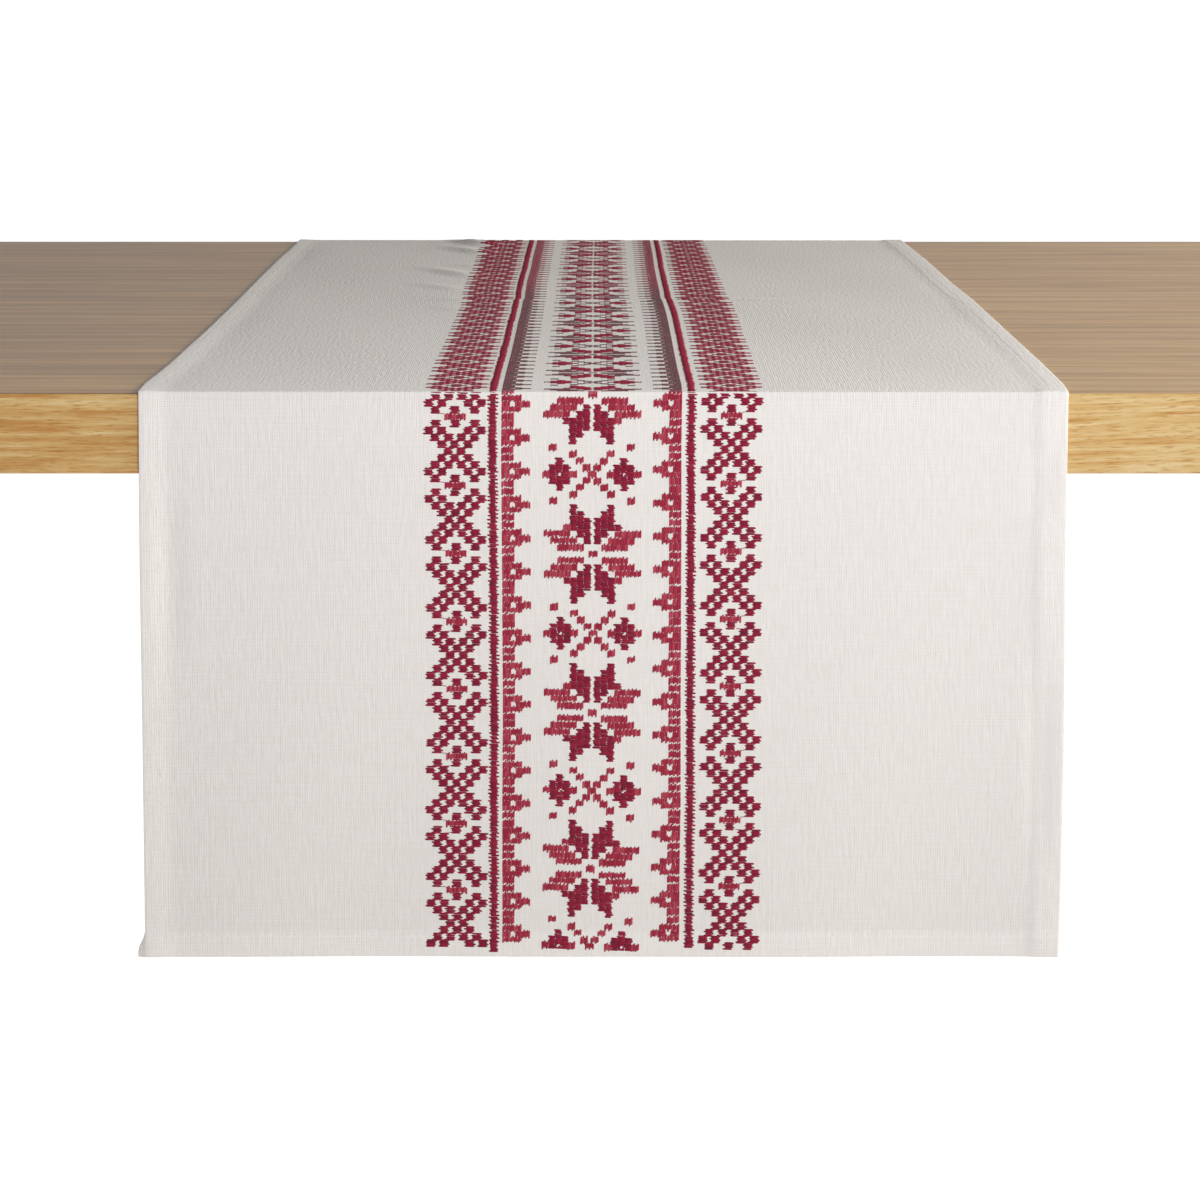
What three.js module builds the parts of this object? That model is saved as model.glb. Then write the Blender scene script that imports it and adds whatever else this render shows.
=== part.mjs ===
// Embroidered table runner lying across an oak table and hanging over both long edges.
// Millimetres, +Z up, origin on the floor under the middle of the table.
// The end that hangs in view is the front one, at -Y.
import * as THREE from "three";
import { mergeVertices } from "three/addons/utils/BufferGeometryUtils.js";

// Table
const tableLength = 1200; // along X
const tableDepth = 800; // along Y
const tableHeight = 740;
const topThickness = 35;
const topArris = 1; // eased edge all round the top
const legSide = 60;
const legArris = 3;
const legInset = 20; // from the ends and the long edges of the top
const seatGap = 0.3; // between pieces that rest on each other

// Runner, measured flat and hemmed
const runnerWidth = 400;
const runnerLength = 1300;
const clothThickness = 1;
const hemThickness = 1.6; // the cloth with its turned edge under it
const sideHem = 8.5;
const endHem = 9.5;
const hemStep = 1.2; // width over which the cloth climbs onto its hem

// Runner, as it lies
const edgeClearance = 2; // outside the eased edge of the top
const edgeRise = 24; // from the edge, where the cloth settles on the top
const bendRadius = topArris + edgeClearance;
const bendLength = (bendRadius * Math.PI) / 2;
const lyingLength = tableDepth - 2 * topArris;
const dropLength = (runnerLength - lyingLength - 2 * bendLength) / 2;
const lyingStart = dropLength + bendLength; // distance along the cloth from the front hem
const lyingMiddle = lyingStart + lyingLength / 2;

// The packing fold across the middle, a soft ridge
const foldHeight = 0.9;
const foldHalfWidth = 9;

// Soft ridges pulled up by the stitching, left of the embroidery on the far half of the top.
// Each runs from its tail to its head at the embroidery; x and y are the part's own.
const pulledRidges = [
  { tailX: -103, tailY: 368, headX: -80, headY: 296, height: 2.2, halfWidth: 12 },
  { tailX: -104, tailY: 266, headX: -82, headY: 226, height: 0.8, halfWidth: 10 },
  { tailX: -109, tailY: 212, headX: -82, headY: 136, height: 1.9, halfWidth: 13 },
  { tailX: -111, tailY: 124, headX: -84, headY: 55, height: 1.5, halfWidth: 13 },
  { tailX: -104, tailY: 42, headX: -85, headY: 2, height: 0.8, halfWidth: 10 },
];

// Soft furrows down the front drop: x is across, top and bottom are measured down from the edge
const dropFurrows = [
  { x: 189, top: 14, bottom: 62, depth: 0.5, halfWidth: 9 },
  { x: 190, top: 96, bottom: 230, depth: 0.9, halfWidth: 8 },
  { x: -187, top: 20, bottom: 140, depth: 0.5, halfWidth: 9 },
];

// How far each side edge stands outside its straight line, by distance from the front hem
const edgeTable = [
  { along: 0, left: 2.7, right: -0.3 },
  { along: 6, left: 2.4, right: -0.2 },
  { along: 14, left: 1.5, right: 0 },
  { along: 28, left: 0.9, right: 0.2 },
  { along: 100, left: 0.4, right: 0.3 },
  { along: 180, left: 0.1, right: -0.6 },
  { along: 251, left: 0.2, right: 0.1 },
  { along: 276, left: 1.2, right: 1.7 },
  { along: 350, left: -0.3, right: 2.4 },
  { along: 500, left: -0.9, right: 2.7 },
  { along: 650, left: -0.5, right: 3 },
  { along: 750, left: 0.4, right: 1.5 },
  { along: 900, left: 1.3, right: 1.4 },
  { along: 1049, left: 0.5, right: -0.7 },
  { along: 1300, left: 0, right: 0 },
];

// Spacing of the cloth's cross-sections and of the points on them
const bendSteps = 4;
const dropSteps = 7;
const nearTopSteps = 9;
const farTopSteps = 25;
const leftFieldSteps = 4;
const ridgeFieldSteps = 9;
const rightFieldSteps = 9;
const ridgeFieldLeft = -124;
const ridgeFieldRight = -70;

const oak = new THREE.MeshStandardMaterial({ color: 0xc39b66, roughness: 0.5, metalness: 0 });
const whiteCotton = new THREE.MeshStandardMaterial({ color: 0xddd6d0, roughness: 0.9, metalness: 0 });

// count numbers after start, evenly spaced and ending on end
function stepsTo(start, end, count) {
  return Array.from({ length: count }, (_, i) => start + ((end - start) * (i + 1)) / count);
}

// 1 at the middle of a soft form, 0 and level from its half width on
function softBump(distance, halfWidth) {
  const share = Math.min(Math.abs(distance) / halfWidth, 1);
  return (1 - share * share) ** 2;
}

function readTable(table, along, column) {
  const next = table.findIndex((row) => row.along >= along);
  if (next === 0) return table[0][column];
  if (next < 0) return table[table.length - 1][column];
  const before = table[next - 1];
  const after = table[next];
  const t = THREE.MathUtils.smoothstep(along, before.along, after.along);
  return THREE.MathUtils.lerp(before[column], after[column], t);
}

// Distance from the front hem of each cross-section
function crossSections() {
  const hemToBend = [0, endHem, endHem + hemStep, ...stepsTo(endHem + hemStep, dropLength, dropSteps)];
  const edgeToFlat = [...stepsTo(dropLength, lyingStart, bendSteps), lyingStart + edgeRise / 3,
    lyingStart + (2 * edgeRise) / 3, lyingStart + edgeRise];
  const nearEnd = lyingMiddle - foldHalfWidth;
  const fold = stepsTo(nearEnd, lyingMiddle + foldHalfWidth, 4);
  const flatEnd = runnerLength - lyingStart - edgeRise;
  const front = [...hemToBend, ...edgeToFlat];
  const back = front.slice(0, -1).map((along) => runnerLength - along).reverse();
  return [
    ...front,
    ...stepsTo(lyingStart + edgeRise, nearEnd, nearTopSteps),
    ...fold,
    ...stepsTo(lyingMiddle + foldHalfWidth, flatEnd, farTopSteps),
    ...back,
  ];
}

// Distance across from the middle of the runner of each lengthwise line of points
function lengthwiseLines() {
  const half = runnerWidth / 2;
  const hemEdge = half - sideHem;
  const field = hemEdge - hemStep;
  return [
    -half,
    -hemEdge,
    -field,
    ...stepsTo(-field, ridgeFieldLeft, leftFieldSteps),
    ...stepsTo(ridgeFieldLeft, ridgeFieldRight, ridgeFieldSteps),
    ...stepsTo(ridgeFieldRight, field, rightFieldSteps),
    hemEdge,
    half,
  ];
}

// The underside's path in the YZ plane, without folds, and the way the cloth faces there
function underside(along) {
  const fromFront = along <= runnerLength / 2;
  const s = fromFront ? along : runnerLength - along;
  const side = fromFront ? -1 : 1;
  const bendY = tableDepth / 2 - topArris;
  const bendZ = tableHeight - topArris;
  if (s <= dropLength) {
    const faceY = bendY + bendRadius;
    return { y: side * faceY, z: bendZ - (dropLength - s), facing: [side, 0], lying: false };
  }
  if (s <= lyingStart) {
    const turn = ((s - dropLength) / bendLength) * (Math.PI / 2);
    const y = side * (bendY + bendRadius * Math.cos(turn));
    const z = bendZ + bendRadius * Math.sin(turn);
    return { y, z, facing: [side * Math.cos(turn), Math.sin(turn)], lying: false };
  }
  const inward = s - lyingStart;
  const settled = THREE.MathUtils.smoothstep(inward, 0, edgeRise);
  const lift = THREE.MathUtils.lerp(edgeClearance, seatGap, settled);
  return { y: side * (bendY - inward), z: tableHeight + lift, facing: [0, 1], lying: true };
}

function ridgeHeight(x, y, ridge) {
  const lengthX = ridge.headX - ridge.tailX;
  const lengthY = ridge.headY - ridge.tailY;
  const length = Math.hypot(lengthX, lengthY);
  const along = ((x - ridge.tailX) * lengthX + (y - ridge.tailY) * lengthY) / length ** 2;
  const across = ((x - ridge.tailX) * lengthY - (y - ridge.tailY) * lengthX) / length;
  const fade = along < 0.7 ? softBump(along - 0.7, 1) : softBump(along - 0.7, 0.55);
  return ridge.height * softBump(across, ridge.halfWidth) * fade;
}

// How far the cloth stands above the flat top
function foldsOnTop(x, y) {
  const middle = foldHeight * softBump(y, foldHalfWidth);
  return pulledRidges.reduce((sum, ridge) => sum + ridgeHeight(x, y, ridge), middle);
}

// How far the front drop sinks in towards the table
function furrowsInDrop(x, down) {
  return dropFurrows.reduce((sum, furrow) => {
    const middle = (furrow.top + furrow.bottom) / 2;
    const reach = (furrow.bottom - furrow.top) / 2;
    return sum + furrow.depth * softBump(x - furrow.x, furrow.halfWidth) * softBump(down - middle, reach);
  }, 0);
}

function thicknessAt(across, along) {
  const fromSide = runnerWidth / 2 - Math.abs(across) - sideHem;
  const fromEnd = Math.min(along, runnerLength - along) - endHem;
  const share = THREE.MathUtils.clamp(Math.min(fromSide, fromEnd) / hemStep, 0, 1);
  return THREE.MathUtils.lerp(hemThickness, clothThickness, share);
}

// Where a point of the flat runner comes to lie; face is 0 on the underside and 1 on top
function drape(across, along, face) {
  const path = underside(along);
  const leftShift = -readTable(edgeTable, along, "left");
  const rightShift = readTable(edgeTable, along, "right");
  const x = across + THREE.MathUtils.lerp(leftShift, rightShift, across / runnerWidth + 0.5);
  const [faceY, faceZ] = path.facing;
  let out = face * thicknessAt(across, along);
  if (path.lying) out += foldsOnTop(x, path.y);
  if (along < dropLength) out -= furrowsInDrop(x, dropLength - along);
  return new THREE.Vector3(x, path.y + faceY * out, path.z + faceZ * out);
}

// A gridded slab whose steps are laid onto the lines and sections, then draped
function makeRunner() {
  const lines = lengthwiseLines();
  const sections = crossSections();
  const wide = lines.length - 1;
  const long = sections.length - 1;
  const slab = new THREE.BoxGeometry(wide, long, 1, wide, long, 1);
  slab.translate(wide / 2, long / 2, 0.5);
  slab.deleteAttribute("normal");
  slab.deleteAttribute("uv");
  const geometry = mergeVertices(slab);
  const points = geometry.attributes.position;
  for (let i = 0; i < points.count; i++) {
    const across = lines[Math.round(points.getX(i))];
    const along = sections[Math.round(points.getY(i))];
    const place = drape(across, along, Math.round(points.getZ(i)));
    points.setXYZ(i, place.x, place.y, place.z);
  }
  return geometry;
}

function rectangle(width, depth, corner) {
  const x = width / 2;
  const y = depth / 2;
  const outline = [[x - corner, -y], [x, -y + corner], [x, y - corner], [x - corner, y],
    [corner - x, y], [-x, y - corner], [-x, corner - y], [corner - x, -y]];
  return new THREE.Shape(outline.map(([px, py]) => new THREE.Vector2(px, py)));
}

function makeTableTop() {
  const shape = rectangle(tableLength - 2 * topArris, tableDepth - 2 * topArris, topArris);
  const geometry = new THREE.ExtrudeGeometry(shape, {
    depth: topThickness - 2 * topArris,
    bevelThickness: topArris,
    bevelSize: topArris,
    bevelSegments: 2,
  });
  return geometry.translate(0, 0, tableHeight - topThickness + topArris);
}

function makeLeg() {
  const depth = tableHeight - topThickness - seatGap;
  return new THREE.ExtrudeGeometry(rectangle(legSide, legSide, legArris), { depth, bevelEnabled: false });
}

function addMesh(group, name, geometry, material) {
  const mesh = new THREE.Mesh(geometry, material);
  mesh.name = name;
  group.add(mesh);
  return mesh;
}

const runnerOnTable = new THREE.Group();
const table = new THREE.Group();
runnerOnTable.add(table);
addMesh(table, "table_top", makeTableTop(), oak);
const legX = tableLength / 2 - legInset - legSide / 2;
const legY = tableDepth / 2 - legInset - legSide / 2;
for (const [end, x] of [["left", -legX], ["right", legX]]) {
  for (const [edge, y] of [["front", -legY], ["back", legY]]) {
    addMesh(table, `leg_${edge}_${end}`, makeLeg(), oak).position.set(x, y, 0);
  }
}
addMesh(runnerOnTable, "runner", makeRunner(), whiteCotton);

export default runnerOnTable;
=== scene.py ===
import math
import random

import bmesh
import bpy
import numpy as np
from mathutils import Matrix, Vector


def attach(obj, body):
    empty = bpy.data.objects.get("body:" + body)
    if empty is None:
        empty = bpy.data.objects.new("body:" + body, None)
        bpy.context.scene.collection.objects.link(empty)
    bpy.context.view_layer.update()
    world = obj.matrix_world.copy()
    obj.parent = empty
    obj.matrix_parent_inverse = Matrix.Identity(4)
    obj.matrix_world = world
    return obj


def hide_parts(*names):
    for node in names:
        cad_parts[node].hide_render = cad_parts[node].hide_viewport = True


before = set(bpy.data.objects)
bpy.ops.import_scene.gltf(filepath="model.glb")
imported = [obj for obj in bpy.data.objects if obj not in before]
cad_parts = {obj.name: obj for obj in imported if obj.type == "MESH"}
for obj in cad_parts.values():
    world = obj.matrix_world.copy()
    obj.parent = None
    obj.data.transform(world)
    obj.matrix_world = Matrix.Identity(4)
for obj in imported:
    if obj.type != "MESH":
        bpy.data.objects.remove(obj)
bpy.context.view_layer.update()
mm = 0.001
dice = random.Random(7)


# helpers shared by every piece

def linear(hexColour):
    parts = [int(hexColour[i:i + 2], 16) / 255 for i in (1, 3, 5)]
    parts = [c / 12.92 if c <= 0.04045 else ((c + 0.055) / 1.055) ** 2.4 for c in parts]
    return tuple(parts) + (1.0,)


def smooth(share):
    share = np.clip(share, 0, 1)
    return share * share * (3 - 2 * share)


def softBump(distance, halfWidth):
    return (1 - np.minimum(np.abs(distance) / halfWidth, 1) ** 2) ** 2


def addNode(tree, kind, settings, links):
    node = tree.nodes.new(kind)
    for name, value in settings.items():
        setattr(node, name, value)
    for socket, value in links.items():
        if isinstance(value, bpy.types.NodeSocket):
            tree.links.new(value, node.inputs[socket])
        else:
            node.inputs[socket].default_value = value
    return node


def newMaterial(name):
    material = bpy.data.materials.new(name)
    material.use_nodes = True
    return material, material.node_tree, material.node_tree.nodes["Principled BSDF"]


def setStops(ramp, stops):
    elements = ramp.color_ramp.elements
    while len(elements) < len(stops):
        elements.new(0.5)
    for element, (place, colour) in zip(elements, stops):
        element.position = place
        element.color = linear(colour)


# camera at the photo's eye height, a little under two metres in front of the table's middle
camera = {
    "eye": (-0.0024, -1.8507, 0.9247),
    "tilt": 6.69,  # degrees down
    "lens": 101.8,
    "shift": (0.0017, -0.2),
    "sees": (0.1, 300),
}
cameraData = bpy.data.cameras.new("tableCamera")
cameraData.lens = camera["lens"]
cameraData.sensor_width = 36
cameraData.shift_x, cameraData.shift_y = camera["shift"]
cameraData.clip_start, cameraData.clip_end = camera["sees"]
tableCamera = bpy.data.objects.new("tableCamera", cameraData)
tableCamera.location = camera["eye"]
tableCamera.rotation_euler = (math.radians(90 - camera["tilt"]), 0, 0)
bpy.context.scene.collection.objects.link(tableCamera)
bpy.context.scene.camera = tableCamera
bpy.context.scene.view_settings.view_transform = "Standard"
print("camera set")


# the runner: all sizes in millimetres, laid flat as across (from its middle) and along (from the
# front hem)
cloth = {
    "width": 400.0,
    "length": 1299.0,
    "thickness": 0.36,
    "layerPitch": 0.42,  # one folded layer to the next
    "sideHem": 11.0,
    "endHem": 11.5,
    "sideStitch": 7.4,  # the sewing line, from the folded edge
    "endStitch": 9.8,
    "leftRise": (2.0, 13.0),  # where the face climbs on to the hem: start from the edge, and run
    "rightRise": (10.3, 4.5),
    "rightLying": (5.0, 12.0),  # softer where it lies on the table
    "endRise": (6.5, 6.5),
    "stitchDip": 0.1,
    "stitchDipHalf": 0.8,
    "cornerPeep": (3.2, 9.0),  # how far the lower left corner's turned layer peeps out, and its run
    "edgeIn": 400.1,  # middle of the bend over the table's edge, from the table's middle
    "edgeHeight": 740.1,
    "bendRadius": 0.3,
    "leftSlack": 0.3,  # the bend stands this much higher at the left than at the right
    "edgeRise": 0.2,  # the cloth stands off the wood near the edge by this much more
    "riseRun": 24.0,
    "step": 4.8,
    "foldStep": 1.3,  # closer on the middle crease, beside the bends and on the rise behind them
    "bendStep": 2.2,
    "riseStep": 2.6,
}
bendLength = cloth["bendRadius"] * math.pi / 2
dropLength = (cloth["length"] - 2 * cloth["edgeIn"] - 2 * bendLength) / 2
topStart = dropLength + bendLength
middle = cloth["length"] / 2

# how the cloth lies on the table and hangs
lie = {
    "middleCrease": 0.35,
    "middleHalf": 11.0,
    "middleReach": (110.0, 30.0),  # it shows in the sewing only: across, and fade
    "offWood": 0.24,  # mean height above the wood, with a slow roll
    "roll": (0.12, 0.1),
    "hemFade": 26.0,  # the hems lie flat on the wood
    "pulledFlat": (380.0, 19.0),  # over the table's edges: depth, and run
    "creaseKept": 0.4,  # share of a pulled crease that passes the edge
    "hangOut": 0.9,
    "hangRun": 80.0,
    "sway": (0.5, 0.3),
    "rearSway": 0.6,
    "rearRun": 220.0,
}

# creases beside the left cross band where the sewing pulled the cloth: tail, head (across, and depth
# behind the table's middle), height, half width
pulledFolds = [
    ((-96, 405), (-71, 358), 2.6, 12),
    ((-97, 350), (-72, 298), 1.6, 11),
    ((-88, 228), (-73, 202), 0.5, 8),
    ((-104, 197), (-74, 137), 1.5, 11),
    ((-103, 95), (-80, 58), 0.8, 11),
    ((-90, 20), (-79, -1), 0.35, 9),
    ((-89, -32), (-78, -57), 0.5, 9),
]

# shallow troughs in the front drop: across, top and bottom below the edge, depth, half width
dropTroughs = [
    (189, 14, 62, 0.5, 9),
    (190, 96, 230, 0.9, 8),
    (-187, 20, 140, 0.5, 9),
]

# how far the cloth lies from straight: along, left hem out, embroidery to the right, right hem out
wander = [
    (0, 0.9, -0.9, -0.3),
    (28, 0.8, -0.7, 0.2),
    (100, 0.6, -0.2, 0.6),
    (180, 0.6, 0.1, 0.0),
    (251, 0.2, 0.5, 0.1),
    (276, 1.2, 0.6, 1.7),
    (350, -0.3, 0.3, 2.4),
    (500, -0.9, 0.0, 2.7),
    (650, -0.5, -0.3, 3.0),
    (750, 0.4, -0.4, 1.5),
    (900, 1.3, -0.5, 1.4),
    (1049, 0.5, -0.6, -0.7),
    (1300, 0.0, -0.2, 0.0),
]


def foldLift(across, along):
    depth = along - middle  # on the table this is the distance behind its middle
    onTable = (along > topStart) & (along < cloth["length"] - topStart)
    crease = np.zeros_like(across)
    for (tailX, tailY), (headX, headY), height, halfWidth in pulledFolds:
        runX = headX - tailX
        runY = headY - tailY
        run = math.hypot(runX, runY)
        share = ((across - tailX) * runX + (depth - tailY) * runY) / run ** 2
        side = ((across - tailX) * runY - (depth - tailY) * runX) / run
        # highest at seven tenths of its run, with a long tail
        fade = np.where(share < 0.7, softBump(share - 0.7, 1), softBump(share - 0.7, 0.55))
        crease += height * fade * softBump(side, halfWidth)
    sewn, run = lie["middleReach"]
    inSewing = smooth((sewn - np.abs(across)) / run)
    lift = lie["middleCrease"] * softBump(depth, lie["middleHalf"]) * inSewing
    longRoll, shortRoll = lie["roll"]
    roll = longRoll * np.sin(across / 23 + along / 61) + shortRoll * np.sin(across / 57 - along / 33 + 1)
    lift += (lie["offWood"] + roll) * smooth((cloth["width"] / 2 - np.abs(across)) / lie["hemFade"])
    edge = smooth((np.abs(depth) - lie["pulledFlat"][0]) / lie["pulledFlat"][1])
    lift = np.where(onTable, lift * (1 - edge), 0) + crease * (1 - (1 - lie["creaseKept"]) * edge)
    down = topStart - along  # below the front edge
    hang = np.zeros_like(across)
    for place, top, bottom, trough, halfWidth in dropTroughs:
        length = softBump(down - (top + bottom) / 2, (bottom - top) / 2)
        hang -= trough * length * softBump(across - place, halfWidth)
    longSway, shortSway = lie["sway"]
    sway = longSway * np.sin(across / 41 + 0.6) + shortSway * np.sin(across / 19 + down / 70)
    hang += (lie["hangOut"] + sway) * (1 - np.exp(-np.maximum(down, 0) / lie["hangRun"]))
    rear = along - (cloth["length"] - topStart)
    hangRear = (lie["hangOut"] + lie["rearSway"] * np.sin(across / 36)) * smooth(rear / lie["rearRun"])
    return lift + np.where(down > 0, hang, 0) + np.where(rear > 0, hangRear, 0)


# how far the sewn bands lie from straight: depth, then the left cross band's outer side, left line,
# stars, right line and right cross band's outer side; the places to their left and right stay
bandPull = {
    "sides": (-200, -77, -48, -5, 38, 68, 200),
    "table": [
        (-650, 0.6, 0.8, -0.5, 0.2, 0.1),
        (-606, 0.5, 0.6, -0.3, 0.0, 0.1),
        (-580, 0.3, 0.45, 0.1, 0.2, 0.2),
        (-540, 0.7, 0.6, 0.15, -0.2, -0.1),
        (-502, 0.75, 0.4, 0.35, -0.25, -0.2),
        (-476, 0.6, 0.25, 0.3, -0.25, -0.2),
        (-450, 0.2, 0.0, -0.1, -0.25, -0.3),
        (-424, -0.2, -0.3, -0.6, -0.5, -0.5),
        (-400, 0.0, -0.1, -0.2, -0.3, -0.3),
        (-380, 0.0, -0.1, -0.25, -0.4, -0.4),
        (-320, -0.4, 0.0, -0.35, -0.7, -0.2),
        (-260, -0.3, 0.4, -0.2, -0.8, 0.2),
        (-190, 0.4, 0.5, -0.05, -0.6, 0.2),
        (-120, 0.7, 0.6, 0.05, -0.5, 0.7),
        (-77, 0.9, 1.0, 0.2, -0.6, 1.0),
        (-35, 1.5, 1.1, 0.05, -1.0, 1.0),
        (5, 0.0, 1.0, -0.3, -1.6, 0.5),
        (40, -2.0, 0.5, -0.35, -1.2, 1.0),
        (110, -2.0, 0.4, -0.4, -1.2, 1.4),
        (200, -1.3, 1.1, -0.15, -1.4, 1.2),
        (300, -2.0, 1.1, 0.2, -0.7, 0.9),
        (380, -2.2, 1.4, 0.4, -0.6, 0.5),
        (650, 0.0, 0.0, 0.0, 0.0, 0.0),
    ],
}


def bandShift(across, along):
    table = np.array(bandPull["table"], float)
    sides = bandPull["sides"]
    shift = np.zeros_like(across)
    for i in range(1, 6):
        share = np.interp(across, sides[i - 1:i + 2], (0, 1, 0))
        shift += share * np.interp(along - middle, table[:, 0], table[:, i])
    return shift


def hemInset(across, along):
    return cloth["width"] / 2 - np.abs(across), middle - np.abs(along - middle)


# how far the face has climbed on to the side hem and on to the end hem, 0 to 1
def hemSteps(across, along):
    sideInset, endInset = hemInset(across, along)
    leftStep = 1 - smooth((sideInset - cloth["leftRise"][0]) / cloth["leftRise"][1])
    lies = smooth((endInset - dropLength) / 20)
    start = cloth["rightRise"][0] + (cloth["rightLying"][0] - cloth["rightRise"][0]) * lies
    run = cloth["rightRise"][1] + (cloth["rightLying"][1] - cloth["rightRise"][1]) * lies
    rightStep = 1 - smooth((sideInset - start) / run)
    endStep = 1 - smooth((endInset - cloth["endRise"][0]) / cloth["endRise"][1])
    sideStep = np.where(across < 0, leftStep, rightStep)
    dip = cloth["stitchDipHalf"]
    sideStep = sideStep - cloth["stitchDip"] * softBump(sideInset - cloth["sideStitch"], dip)
    endStep = endStep - cloth["stitchDip"] * softBump(endInset - cloth["endStitch"], dip)
    return sideStep, endStep


def faceHeight(across, along):
    sideStep, endStep = hemSteps(across, along)
    return cloth["layerPitch"] * (sideStep + endStep + sideStep * endStep)


# lays a flat place on to the table: height is above the cloth's underside
def drape(across, along, height):
    columns = np.array(wander, float)
    leftOut, middleOut, rightOut = [np.interp(along, columns[:, 0], columns[:, i]) for i in (1, 2, 3)]
    share = across / (cloth["width"] / 2)
    sideOut = np.where(share < 0, leftOut + middleOut, rightOut - middleOut)
    x = across + middleOut + share * sideOut
    x += bandShift(across, along)
    fromHem = middle - np.abs(along - middle)
    turn = np.clip((fromHem - dropLength) / cloth["bendRadius"], 0, math.pi / 2)
    inside = np.maximum(fromHem - topStart, 0)
    fromEdge = fromHem - dropLength
    # the bend's slack runs out down the drop, and sooner on the table
    slack = np.where(fromEdge < 0, 1 - smooth(-fromEdge / 240), softBump(fromEdge, 60))
    slack = slack * cloth["leftSlack"] * (0.5 - across / cloth["width"])
    up = height + foldLift(across, along) + slack
    reach = cloth["bendRadius"] + up
    y = -cloth["edgeIn"] - reach * np.cos(turn) + inside
    z = cloth["edgeHeight"] + reach * np.sin(turn) - np.maximum(dropLength - fromHem, 0)
    z -= cloth["edgeRise"] * smooth(inside / cloth["riseRun"])
    y = np.where(along > middle, -y, y)
    return np.stack([x, y, z], 1) * mm


# stations of a hemmed direction: place, how much it is the upper layer, and place in the flat cut
def hemmedStations(size, hem, stitch, inner):
    turn = cloth["layerPitch"] / 2
    under = [(i, 0.0, -turn * math.pi - i + turn) for i in (hem, hem * 0.72, hem * 0.45, hem * 0.2, 0.8)]
    folded = []
    for i in range(7):
        angle = math.pi * (1 - i / 6)
        folded.append((turn * (1 - math.sin(angle)), (1 + math.cos(angle)) / 2, turn * (1 - angle)))
    places = [0.8, 2.2, 4.2, stitch - 1.5, stitch - 0.7, stitch, stitch + 0.7, stitch + 1.5]
    places += [hem + i for i in (0.8, 1.8, 2.8, 3.8, 5.2, 7.0, 9.0, 11.0)]
    near = under + folded + [(i, 1.0, i) for i in places]
    near = [(place - size / 2, top, cut - size / 2) for place, top, cut in near]
    between = [(place, 1.0, place) for place in inner]
    far = [(-place, top, -cut) for place, top, cut in reversed(near)]
    return np.array(near + between + far).T


def evenly(start, stop, step):
    count = max(int(round((stop - start) / step)), 1)
    return [start + (stop - start) * i / count for i in range(count)]


def makeRunnerCloth():
    half = cloth["width"] / 2
    inner = evenly(-half + 22, half - 22, cloth["step"])[1:]
    columns = hemmedStations(cloth["width"], cloth["sideHem"], cloth["sideStitch"], inner)
    aboveBend = dropLength - 9
    risen = topStart + 26
    crease = middle - 12
    places = evenly(cloth["endHem"] + 15, aboveBend, cloth["step"])
    places += evenly(aboveBend, dropLength, cloth["bendStep"])
    places += [dropLength + bendLength * i / 8 for i in range(9)]
    places += evenly(topStart + 1.5, risen, cloth["riseStep"])
    places += evenly(risen, crease, cloth["step"]) + evenly(crease, middle, cloth["foldStep"])
    rows = [place - middle for place in places]
    rows += [0.0] + [-row for row in reversed(rows)]
    rows = hemmedStations(cloth["length"], cloth["endHem"], cloth["endStitch"], rows)
    bm = bmesh.new()
    bmesh.ops.create_grid(bm, x_segments=len(columns[0]) - 1, y_segments=len(rows[0]) - 1, size=1)
    mesh = bpy.data.meshes.new("runnerCloth")
    bm.to_mesh(mesh)
    bm.free()
    flat = np.empty(len(mesh.vertices) * 3)
    mesh.vertices.foreach_get("co", flat)
    flat = flat.reshape(-1, 3)
    column = np.rint((flat[:, 0] + 1) / 2 * (len(columns[0]) - 1)).astype(int)
    row = np.rint((flat[:, 1] + 1) / 2 * (len(rows[0]) - 1)).astype(int)
    across, sideTop, cutAcross = columns[:, column]
    along, endTop, cutAlong = rows[:, row]
    along = along + middle
    sideStep, endStep = hemSteps(across, along)
    # the ends are turned first, then the sides, so a corner has four layers
    face = sideStep + endStep + sideStep * endStep
    level = sideTop * endTop * face
    level += sideTop * (1 - endTop) * np.minimum(2 * sideStep, 0.9 * face)
    level += (1 - sideTop) * (1 - endTop) * np.minimum(1, 0.8 * face)
    # the turned-under layer peeps out at the lower left corner
    peepOut, peepRun = cloth["cornerPeep"]
    peep = (1 - sideTop) * peepOut * smooth((cloth["endHem"] - along) / peepRun) * (across < -150)
    height = cloth["thickness"] / 2 + cloth["layerPitch"] * level
    placed = drape(across - peep, along, height)
    mesh.vertices.foreach_set("co", placed.ravel())
    corners = np.empty(len(mesh.loops), int)
    mesh.loops.foreach_get("vertex_index", corners)
    uvMap = mesh.uv_layers.new(name="flatCloth")
    uvMap.data.foreach_set("uv", (np.stack([cutAcross, cutAlong], 1)[corners] * mm).ravel())
    sideInset, endInset = hemInset(across, along)
    layers = 1 - smooth((np.minimum(sideInset, endInset) - cloth["sideHem"] + 1.5) / 3)
    layerShare = mesh.attributes.new("hemLayers", "FLOAT", "POINT")
    layerShare.data.foreach_set("value", layers)
    mesh.shade_smooth()
    piece = bpy.data.objects.new("runnerCloth", mesh)
    bpy.context.scene.collection.objects.link(piece)
    solid = piece.modifiers.new("clothThickness", "SOLIDIFY")
    solid.thickness = cloth["thickness"] * mm
    solid.offset = 0
    mesh.update()
    return piece


runnerCloth = makeRunnerCloth()
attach(runnerCloth, "root")
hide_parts("runner")
print("cloth", len(runnerCloth.data.polygons), "faces")


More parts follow.
